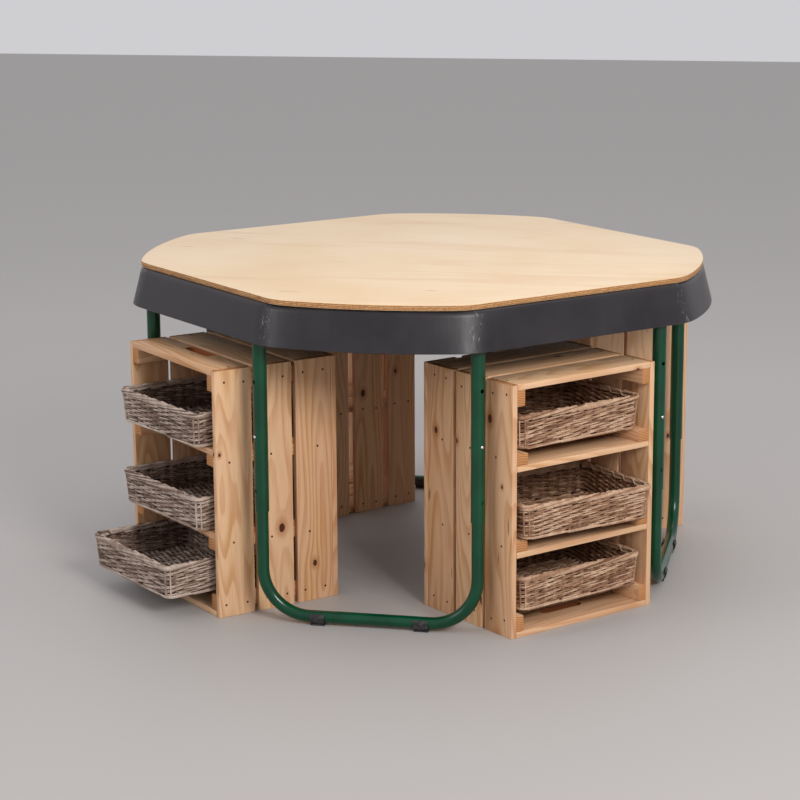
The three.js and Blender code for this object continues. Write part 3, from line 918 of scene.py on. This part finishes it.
def octagon(a, b, bow, corner):
    """Points anticlockwise, each with its share of corner: 1 in the middle of a round, else 0."""
    arc = arc_points(a, b, bow, ARC_STEPS)
    sides = [[Matrix.Rotation(turn * math.pi / 2, 3, "Z") @ p for p in arc] for turn in range(4)]
    points = []
    for turn, side in enumerate(sides):
        previous, following = sides[turn - 1][-1], sides[(turn + 1) % 4][0]
        middle = [p for p in side[1:-1]
                  if min((p - side[0]).length, (p - side[-1]).length) > corner * 1.05]
        first = round_corner(previous, side[0], middle[0], corner, CORNER_STEPS)
        second = round_corner(middle[-1], side[-1], following, corner, CORNER_STEPS)
        for row, flagged in ((first, True), (middle, False), (second, True)):
            last = len(row) - 1
            points += [(p, math.sin(math.pi * i / last) ** 2 if flagged else 0.0)
                       for i, p in enumerate(row)]
    return points


# %% [markdown]
# ## Plywood lid
#
# Birch plywood shows two faces. The top is one broad peeled veneer, pale and nearly even, with
# faint flames and a few mineral streaks under a satin lacquer. The edge shows every ply, light
# and dark in turn, and where the outer plies are cut across their grain it looks finely
# hatched. Two materials, then, chosen by which way a face points.

# %% Birch veneer and ply edge
PLIES = 7


def make_birch_face():
    recipe = Recipe("birch_veneer", roughness=0.42, specular=0.4)
    place = recipe.object_coords()
    flow = recipe.scaled(place, (1.6, 13.0, 1.0))
    flame = recipe.noise(flow, 1.0, detail=4, roughness=0.55, distortion=0.6)
    fine = recipe.noise(recipe.scaled(place, (18, 420, 1)), 1.0, detail=3)
    cloud = recipe.noise(place, 3.1, detail=3)
    wood = recipe.mix(recipe.smooth(cloud, 0.3, 0.75), linear(240, 216, 182), linear(231, 202, 162))
    wood = recipe.mix(recipe.smooth(flame, 0.52, 0.78, 0.0, 0.45), wood, linear(214, 172, 122))
    wood = recipe.mix(recipe.smooth(fine, 0.45, 0.8, 0.0, 0.22), wood, linear(206, 168, 122))
    mark = recipe.noise(recipe.scaled(place, (9, 62, 1), (3.3, 1.7, 0)), 1.0, detail=1)
    wood = recipe.mix(recipe.smooth(mark, 0.755, 0.82, 0.0, 0.55), wood, linear(150, 112, 78))
    rough = recipe.smooth(cloud, 0.2, 0.8, 0.36, 0.48)
    return recipe.finish(Base_Color=wood, Roughness=rough, Normal=recipe.bump(fine, 0.00012, 0.5))


def make_birch_edge():
    recipe = Recipe("ply_edge", roughness=0.6, specular=0.3)
    place = recipe.object_coords()
    x, y, z = recipe.split(place)
    bottom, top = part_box("lid_board")
    ply = recipe.times(recipe.minus(z, bottom.z), PLIES / (top.z - bottom.z))
    pair = recipe.math("FRACT", recipe.times(ply, 0.5))
    crosswise = recipe.math("GREATER_THAN", pair, 0.5)
    seam = recipe.math("ABSOLUTE", recipe.minus(recipe.math("FRACT", ply), 0.5))
    level = recipe.plus(x, recipe.times(y, 0.8))
    slant = recipe.plus(level, recipe.times(z, 1.3))
    cuts = recipe.combine(recipe.times(slant, 420.0), recipe.times(ply, 0.6))
    hatch = recipe.noise(cuts, 1.0, detail=2)
    along = recipe.noise(recipe.scaled(place, (40, 40, 900)), 1.0, detail=3)
    wood = recipe.mix(crosswise, linear(216, 170, 116), linear(168, 112, 64))
    wood = recipe.mix(recipe.smooth(hatch, 0.42, 0.62, 0.0, 0.7), wood, linear(122, 74, 40))
    wood = recipe.mix(recipe.smooth(along, 0.4, 0.7, 0.0, 0.3), wood, linear(226, 186, 134))
    wood = recipe.mix(recipe.smooth(seam, 0.40, 0.5, 0.0, 0.7), wood, linear(104, 62, 34))
    return recipe.finish(Base_Color=wood, Normal=recipe.bump(hatch, 0.0002, 0.6))


LID_HALF_SIDE, LID_BOW, LID_CORNER = 0.1725, 0.022, 0.026
LID_EASE = 0.0012


def make_lid():
    low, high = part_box("lid_board")
    middle = (low + high) / 2
    bm = bmesh.new()
    outline = octagon((high.x - low.x) / 2 - LID_BOW, LID_HALF_SIDE, LID_BOW, LID_CORNER)
    verts = [bm.verts.new((p.x + middle.x, p.y + middle.y, low.z)) for p, _ in outline]
    sheet = bmesh.ops.contextual_create(bm, geom=verts)["faces"]
    raised = bmesh.ops.extrude_face_region(bm, geom=sheet)["geom"]
    tops = [item for item in raised if isinstance(item, bmesh.types.BMVert)]
    bmesh.ops.translate(bm, verts=tops, vec=(0, 0, high.z - low.z))
    bmesh.ops.recalc_face_normals(bm, faces=bm.faces[:])
    rims = [edge for edge in bm.edges if max(len(face.verts) for face in edge.link_faces) > 4]
    bmesh.ops.bevel(bm, geom=rims, offset=LID_EASE, segments=3, profile=0.5,
                    affect="EDGES", material=-1)
    for face in bm.faces:
        face.material_index = 0 if abs(face.normal.z) > 0.6 else 1
    piece = finish_mesh(bm, "plywood_lid", [make_birch_face(), make_birch_edge()])
    return place_piece(piece, "lid", ["lid_board"])


print(make_lid().name, "made")

# %% [markdown]
# ## Moulded tray
#
# The tray is drawn down over a mould, so it is one skin of even thickness: a flared skirt, a
# rolled shoulder, a flat rim and a shallow well. Its section is a list of stations, each an
# octagon of its own size. All have the same number of points, and neighbours are joined point
# to point. More stations where the section bends give a soft shoulder.
#
# The corners are where such a tray is dragged and stacked, so the outline's corner flag goes
# into a `wear` attribute, and the finish turns it into pale scuffs.

# %% Tray plastic
def make_tray_plastic():
    recipe = Recipe("charcoal_moulded_plastic", roughness=0.4, specular=0.45)
    place = recipe.object_coords()
    wear = recipe.attribute("wear")
    pulled = recipe.noise(recipe.scaled(place, (34, 34, 2.2)), 1.0, detail=3, roughness=0.6)
    cloud = recipe.noise(place, 9.0, detail=4)
    pebble = recipe.noise(place, 900.0, detail=2)
    colour = recipe.mix(recipe.smooth(cloud, 0.3, 0.75), linear(31, 28, 32), linear(43, 39, 43))
    colour = recipe.mix(recipe.smooth(pulled, 0.55, 0.85, 0.0, 0.35), colour, linear(56, 52, 56))
    scuff = recipe.noise(recipe.scaled(place, (210, 210, 60)), 1.0, detail=4, roughness=0.75)
    flecks = recipe.times(recipe.smooth(scuff, 0.55, 0.66), recipe.math("POWER", wear, 3.0))
    colour = recipe.mix(recipe.times(flecks, 0.6), colour, linear(172, 168, 170))
    gloss = recipe.smooth(cloud, 0.25, 0.8, 0.27, 0.38)
    rough = recipe.plus(gloss, recipe.times(wear, 0.08))
    normal = recipe.bump(pebble, 0.00006, 0.35)
    normal = recipe.bump(pulled, 0.0011, 0.30, normal)
    crease = recipe.noise(recipe.scaled(place, (120, 120, 24)), 1.0, detail=3)
    worn = recipe.times(crease, wear)
    normal = recipe.bump(worn, 0.0012, 0.5, normal)
    return recipe.finish(Base_Color=colour, Roughness=rough, Normal=normal)


TRAY_HALF_SIDE, TRAY_BOW, TRAY_CORNER = 0.1875, 0.027, 0.030
FLARE_A, FLARE_B = 0.0175, 0.002
TRAY_WALL = 0.0035
RIM_WIDTH_IN, RIM_EDGE = 0.024, 0.008
WELL_FLOOR, WELL_UNDERSIDE = 0.5505, 0.547


def bend(start, end, corner, steps):
    """Stations round a bend of the section, from start to end, pulled towards the corner."""
    stations = []
    for i in range(steps + 1):
        t = i / steps
        stations.append(tuple((1 - t) ** 2 * s + 2 * t * (1 - t) * c + t * t * e
                              for s, c, e in zip(start, corner, end)))
    return stations


def make_tray():
    low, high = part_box("tray")
    middle = (low + high) / 2
    half = (high.x - low.x) / 2 - TRAY_BOW - FLARE_A
    rim, skirt = high.z, low.z
    wall = TRAY_WALL
    stations = bend((0, 0.042, WELL_FLOOR), (0, 0.034, WELL_FLOOR + 0.010),
                    (0, 0.036, WELL_FLOOR), 4)
    stations += bend((0, 0.0285, rim - 0.006), (0, RIM_WIDTH_IN - 0.002, rim), (0, 0.027, rim), 4)
    stations += bend((0, RIM_EDGE + 0.002, rim), (0.10, 0, rim - 0.012),
                     (0, 0.0008, rim - 0.0004), 8)
    stations += [(0.5, 0, (rim + skirt) / 2 - 0.003), (0.96, 0, skirt + 0.003)]
    stations += bend((1, 0.0002, skirt + 0.0012), (1, wall - 0.0002, skirt + 0.0012),
                     (1, wall / 2, skirt - 0.001), 3)
    stations += [(0.10, wall, rim - 0.013), (0, RIM_EDGE, rim - wall),
                 (0, RIM_WIDTH_IN - wall, rim - wall), (0, 0.0315, WELL_UNDERSIDE + 0.007),
                 (0, 0.035, WELL_UNDERSIDE + 0.001), (0, 0.039, WELL_UNDERSIDE)]
    bm = bmesh.new()
    wear = bm.verts.layers.float.new("wear")
    rings = []
    for flare, inset, z in stations:
        a = half + flare * FLARE_A - inset
        b = TRAY_HALF_SIDE + flare * FLARE_B - inset * math.tan(math.pi / 8)
        verts = []
        for point, at_corner in octagon(a, b, TRAY_BOW, TRAY_CORNER):
            vert = bm.verts.new((point.x + middle.x, point.y + middle.y, z))
            vert[wear] = at_corner
            verts.append(vert)
        rings.append(verts)
    print("points round the tray:", {len(ring) for ring in rings})
    for first, second in zip(rings, rings[1:]):
        for i in range(len(first)):
            bm.faces.new((first[i - 1], first[i], second[i], second[i - 1]))
    bm.faces.new(rings[0])
    bm.faces.new(rings[-1])
    bmesh.ops.recalc_face_normals(bm, faces=bm.faces[:])
    piece = finish_mesh(bm, "moulded_tray", [make_tray_plastic()])
    return place_piece(piece, "tray", ["tray"])


print(make_tray().name, "made")

# %% [markdown]
# ## Steel tube stand
#
# Bent tube is a curve with a round bevel: straight runs need only their ends, and the bends a
# short arc. The sleeves have real holes in them, so they are cylinders with a Solidify wall and
# a Boolean cut. The finish is a hard glossy powder coat with a little orange peel, which
# breaks up the long highlight, and a few pale scratches.

# %% Stand paint and plastics
def make_green_paint():
    recipe = Recipe("green_powder_coat", roughness=0.2, specular=0.35)
    place = recipe.object_coords()
    peel = recipe.noise(place, 420.0, detail=2)
    cloud = recipe.noise(place, 14.0, detail=3)
    colour = recipe.mix(recipe.smooth(cloud, 0.3, 0.75), linear(0, 56, 34), linear(0, 70, 44))
    scratch = recipe.noise(recipe.scaled(place, (160, 160, 900)), 1.0, detail=3)
    colour = recipe.mix(recipe.smooth(scratch, 0.72, 0.8, 0.0, 0.35), colour, linear(30, 104, 74))
    rough = recipe.smooth(cloud, 0.3, 0.8, 0.17, 0.28)
    normal = recipe.bump(peel, 0.00012, 0.25)
    recipe.finish(Coat_Weight=0.12, Coat_Roughness=0.06)
    return recipe.finish(Base_Color=colour, Roughness=rough, Normal=normal)


def make_foot_plastic():
    recipe = Recipe("dark_foot_plastic", roughness=0.5, specular=0.4)
    grime = recipe.noise(recipe.object_coords(), 160.0, detail=4)
    colour = recipe.mix(recipe.smooth(grime, 0.4, 0.75), linear(38, 36, 38), linear(74, 70, 70))
    rough = recipe.smooth(grime, 0.3, 0.8, 0.4, 0.62)
    return recipe.finish(Base_Color=colour, Roughness=rough, Normal=recipe.bump(grime, 0.0002, 0.4))


def make_button_steel():
    recipe = Recipe("plated_button_steel", roughness=0.22)
    smear = recipe.noise(recipe.object_coords(), 700.0, detail=3)
    rough = recipe.smooth(smear, 0.3, 0.8, 0.16, 0.34)
    return recipe.finish(Base_Color=(0.72, 0.73, 0.74, 1), Metallic=1.0, Roughness=rough)


green_paint = make_green_paint()
foot_plastic = make_foot_plastic()
button_steel = make_button_steel()

# %% Where the legs stand
LEG_OUT, LEG_SIDE = 0.482, 0.196
STAND_TURN = -0.015
SLEEVE_RADIUS, SLEEVE_WALL = 0.0127, 0.0010
TUBE_SMOOTHNESS = 14
RAIL_BEND = 0.055
HOOP_RADIUS, HOOP_BEND = 0.0111, 0.085
HOLE_STEP, HOLE_RADIUS = 0.100, 0.0036
SIDES = ("front", "right", "rear", "left")
OUTWARD = {"a": -3 * math.pi / 4, "b": -math.pi / 4}
LEG_SPOTS = {"a": Vector((-LEG_SIDE, -LEG_OUT, 0)), "b": Vector((LEG_SIDE, -LEG_OUT, 0))}

frame_low, frame_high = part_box("upper_frame")
hoop_low, hoop_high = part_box("floor_hoop_front")
rail_z = frame_high.z - SLEEVE_RADIUS
run_z = hoop_low.z + HOOP_RADIUS
button_low, button_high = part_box("snap_button_front_a")
button_z = (button_low.z + button_high.z) / 2
stand_middle = (frame_low + frame_high) / 2
stand_place = Matrix.Translation((stand_middle.x, stand_middle.y, 0))
stand_matrix = stand_place @ Matrix.Rotation(STAND_TURN, 4, "Z")


def quarter_turn(index):
    return Matrix.Rotation(index * math.pi / 2, 4, "Z")


def side_matrix(index):
    return stand_matrix @ quarter_turn(index)


def rounded_route(corners, radius, steps, closed=False):
    """Points of a bent bar: straight between corners, with an arc at each corner it turns at."""
    count = len(corners)
    turning = range(count) if closed else range(1, count - 1)
    points = [] if closed else [corners[0]]
    for i in turning:
        arriving = (corners[i] - corners[i - 1]).normalized()
        leaving = (corners[(i + 1) % count] - corners[i]).normalized()
        angle = arriving.angle(leaving)
        start = corners[i] - arriving * radius * math.tan(angle / 2)
        side = (leaving - arriving * math.cos(angle)).normalized()
        for step in range(steps + 1):
            turn = angle * step / steps
            ahead = arriving * radius * math.sin(turn)
            points.append(start + ahead + side * radius * (1 - math.cos(turn)))
    return points if closed else points + [corners[-1]]


def tube(name, points, radius, closed=False):
    curve = bpy.data.curves.new(name, "CURVE")
    curve.dimensions = "3D"
    curve.bevel_depth = radius
    curve.bevel_resolution = TUBE_SMOOTHNESS
    curve.use_fill_caps = not closed
    add_rod(curve, points, 1.0, 0, closed)
    return curve_mesh(curve)


# %% Sleeves with height holes
def sleeve_bmesh():
    """Eight plain cylinders, one over each leg, before they get a wall and holes."""
    bm = bmesh.new()
    depth = rail_z - frame_low.z
    for index in range(4):
        for spot in LEG_SPOTS.values():
            middle = Matrix.Translation(spot + Vector((0, 0, frame_low.z + depth / 2)))
            place = quarter_turn(index) @ middle
            bmesh.ops.create_cone(bm, cap_ends=False, segments=48, radius1=SLEEVE_RADIUS,
                                  radius2=SLEEVE_RADIUS, depth=depth, matrix=place)
    return bm


def hole_bmesh():
    bm = bmesh.new()
    for index in range(4):
        for hand, spot in LEG_SPOTS.items():
            for step in (-1, 0, 1):
                height = Vector((0, 0, button_z + step * HOLE_STEP))
                lying = (Matrix.Rotation(OUTWARD[hand], 4, "Z") @ Matrix.Translation((0.013, 0, 0))
                         @ Matrix.Rotation(math.pi / 2, 4, "Y"))
                place = quarter_turn(index) @ Matrix.Translation(spot + height) @ lying
                bmesh.ops.create_cone(bm, cap_ends=True, segments=24, radius1=HOLE_RADIUS,
                                      radius2=HOLE_RADIUS, depth=0.012, matrix=place)
    return bm


def make_upper_frame():
    sleeves = finish_mesh(sleeve_bmesh(), "sleeves", [green_paint])
    cutters = finish_mesh(hole_bmesh(), "hole_cutters", [], smooth=False)
    wall = sleeves.modifiers.new("wall", "SOLIDIFY")
    wall.thickness, wall.offset = SLEEVE_WALL, -1
    cut = sleeves.modifiers.new("holes", "BOOLEAN")
    cut.operation, cut.object, cut.solver = "DIFFERENCE", cutters, "EXACT"
    apply_modifiers(sleeves)
    bpy.data.objects.remove(cutters)
    corners = [Vector((x, y, rail_z)) for x, y in (
        (-LEG_SIDE, -LEG_OUT), (LEG_SIDE, -LEG_OUT), (LEG_OUT, -LEG_SIDE), (LEG_OUT, LEG_SIDE),
        (LEG_SIDE, LEG_OUT), (-LEG_SIDE, LEG_OUT), (-LEG_OUT, LEG_SIDE), (-LEG_OUT, -LEG_SIDE))]
    route = rounded_route(corners, RAIL_BEND, 8, closed=True)
    ring = tube("rail", route, SLEEVE_RADIUS, closed=True)
    bm = bmesh.new()
    bm.from_mesh(sleeves.data)
    bm.from_mesh(ring)
    bm.transform(stand_matrix)
    bpy.data.objects.remove(sleeves)
    piece = finish_mesh(bm, "welded_upper_frame", [green_paint])
    return place_piece(piece, "upper_frame", ["upper_frame"])


# %% Floor hoops, feet and snap buttons
def make_hoop(side, index):
    corners = [Vector((x, -LEG_OUT, z)) for x, z in (
        (-LEG_SIDE, hoop_high.z), (-LEG_SIDE, run_z), (LEG_SIDE, run_z), (LEG_SIDE, hoop_high.z))]
    bm = bmesh.new()
    bm.from_mesh(tube("hoop", rounded_route(corners, HOOP_BEND, 20), HOOP_RADIUS))
    bm.transform(side_matrix(index))
    piece = finish_mesh(bm, f"floor_hoop_{side}_tube", [green_paint])
    return place_piece(piece, "floor_hoops", [f"floor_hoop_{side}"])


FOOT_INNER, FOOT_OUTER, FOOT_WIDTH, FOOT_AT = 0.0114, 0.0142, 0.026, 0.095
FOOT_MOUTH = math.radians(58)
PAD_BELOW, PAD_DEPTH = 0.0125, 0.018


def make_foot(side, hand, index):
    bm = bmesh.new()
    x = math.copysign(FOOT_AT, LEG_SPOTS[hand].x)
    axis_spot = Vector((x - FOOT_WIDTH / 2, -LEG_OUT, run_z))
    up = Vector((0, 0, 1))
    start = Matrix.Rotation(FOOT_MOUTH, 3, "X") @ up
    ends = [bm.verts.new(axis_spot + start * radius) for radius in (FOOT_INNER, FOOT_OUTER)]
    edge = bm.edges.new(ends)
    bmesh.ops.spin(bm, geom=ends + [edge], cent=axis_spot, axis=(1, 0, 0),
                   angle=2 * math.pi - 2 * FOOT_MOUTH, steps=28)
    thick = bmesh.ops.extrude_face_region(bm, geom=bm.faces[:])["geom"]
    moved = [item for item in thick if isinstance(item, bmesh.types.BMVert)]
    bmesh.ops.translate(bm, verts=moved, vec=(FOOT_WIDTH, 0, 0))
    pad_height = run_z - PAD_BELOW
    pad = (Matrix.Translation((x, -LEG_OUT, pad_height / 2))
           @ Matrix.Diagonal((FOOT_WIDTH, PAD_DEPTH, pad_height, 1)))
    bmesh.ops.create_cube(bm, size=1.0, matrix=pad)
    bmesh.ops.recalc_face_normals(bm, faces=bm.faces[:])
    sharp = [edge for edge in bm.edges
             if len(edge.link_faces) == 2 and edge.calc_face_angle() > 0.8]
    bmesh.ops.bevel(bm, geom=sharp, offset=0.0006, segments=2, profile=0.5,
                    affect="EDGES", material=-1)
    bm.transform(side_matrix(index))
    piece = finish_mesh(bm, f"foot_{side}_{hand}_clip", [foot_plastic])
    return place_piece(piece, "floor_hoops", [f"foot_{side}_{hand}"])


PIN_RADIUS, PIN_FLANGE, PIN_TIP, PIN_ROOT = 0.0031, 0.0046, 0.0149, 0.0066
PIN_DOME, FLANGE_THICK = 0.0018, 0.0014


def make_button(side, hand, index):
    """A domed pin on a flange, spun from its half section, on a leaf spring."""
    profile = [(0, PIN_ROOT), (PIN_FLANGE, PIN_ROOT), (PIN_FLANGE, PIN_ROOT + FLANGE_THICK),
               (PIN_RADIUS, PIN_ROOT + FLANGE_THICK), (PIN_RADIUS, PIN_TIP - PIN_DOME)]
    profile += [(PIN_RADIUS * math.cos(t), PIN_TIP - PIN_DOME + PIN_DOME * math.sin(t))
                for t in [math.pi / 2 * i / 6 for i in range(1, 7)]]
    bm = bmesh.new()
    verts = [bm.verts.new((radius, 0, along)) for radius, along in profile]
    edges = [bm.edges.new(pair) for pair in zip(verts, verts[1:])]
    bmesh.ops.spin(bm, geom=verts + edges, cent=(0, 0, 0), axis=(0, 0, 1), angle=2 * math.pi,
                   steps=28, use_merge=True)
    bmesh.ops.remove_doubles(bm, verts=bm.verts[:], dist=1e-6)
    bmesh.ops.recalc_face_normals(bm, faces=bm.faces[:])
    leaf = (Matrix.Translation((0, 0, PIN_ROOT - 0.0004))
            @ Matrix.Diagonal((0.056, 0.0072, 0.0008, 1)))
    bmesh.ops.create_cube(bm, size=1.0, matrix=leaf)
    lying = Matrix.Rotation(OUTWARD[hand], 4, "Z") @ Matrix.Rotation(math.pi / 2, 4, "Y")
    at_hole = Matrix.Translation(LEG_SPOTS[hand] + Vector((0, 0, button_z)))
    bm.transform(side_matrix(index) @ at_hole @ lying)
    name = f"snap_button_{side}_{hand}"
    piece = finish_mesh(bm, f"{name}_pin", [button_steel])
    return place_piece(piece, name, [name])


make_upper_frame()
for index, side in enumerate(SIDES):
    make_hoop(side, index)
    for hand in "ab":
        make_foot(side, hand, index)
        make_button(side, hand, index)
print("stand built")

# %% [markdown]
# ## Floor, light and camera
#
# A plain pale floor, one large soft key from the right and front, a weaker fill from the left,
# a weak top light and a bright even surround, as in a product studio. The camera looks down a
# little from a good distance with a long lens, which keeps the legs nearly parallel.

# %% Floor
def make_floor():
    bm = bmesh.new()
    bmesh.ops.create_grid(bm, x_segments=1, y_segments=1, size=12)
    recipe = Recipe("pale_floor", roughness=0.55, specular=0.3)
    recipe.finish(Base_Color=(0.47, 0.45, 0.435, 1))
    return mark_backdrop(finish_mesh(bm, "floor", [recipe.material], smooth=False))


make_floor()


# %% Lights
def softbox(name, place, target, size, power, tint):
    light = bpy.data.lights.new(name, "AREA")
    light.shape, light.size, light.energy, light.color = "SQUARE", size, power, tint
    lamp = bpy.data.objects.new(name, light)
    lamp.location = place
    lamp.rotation_euler = (Vector(target) - Vector(place)).to_track_quat("-Z", "Y").to_euler()
    bpy.context.scene.collection.objects.link(lamp)


AIM = (0, 0, 0.35)
softbox("key", (2.6, -3.6, 2.6), AIM, 1.3, 118, (1.0, 0.97, 0.95))
softbox("fill", (-3.6, -2.6, 2.2), AIM, 1.8, 26, (0.98, 0.99, 1.0))
softbox("top", (0.2, 0.4, 3.4), AIM, 2.6, 22, (1.0, 1.0, 1.0))

world = bpy.data.worlds.new("surround")
world.use_nodes = True
world.node_tree.nodes["Background"].inputs["Color"].default_value = (0.80, 0.79, 0.82, 1)
world.node_tree.nodes["Background"].inputs["Strength"].default_value = 0.78
bpy.context.scene.world = world

# %% Camera
CAMERA_PLACE = (0.8057, -4.3614, 1.3317)
CAMERA_TURN, CAMERA_TILT, CAMERA_ROLL = 0.1910, -0.2265, -0.0049
LENS = 104.2

camera_data = bpy.data.cameras.new("camera")
camera_data.lens, camera_data.sensor_width = LENS, 36
camera = bpy.data.objects.new("camera", camera_data)
camera.matrix_world = (Matrix.Translation(CAMERA_PLACE) @ Matrix.Rotation(CAMERA_TURN, 4, "Z")
                       @ Matrix.Rotation(math.pi / 2 + CAMERA_TILT, 4, "X")
                       @ Matrix.Rotation(CAMERA_ROLL, 4, "Z"))
bpy.context.scene.collection.objects.link(camera)
bpy.context.scene.camera = camera
bpy.context.scene.view_settings.view_transform = "Standard"
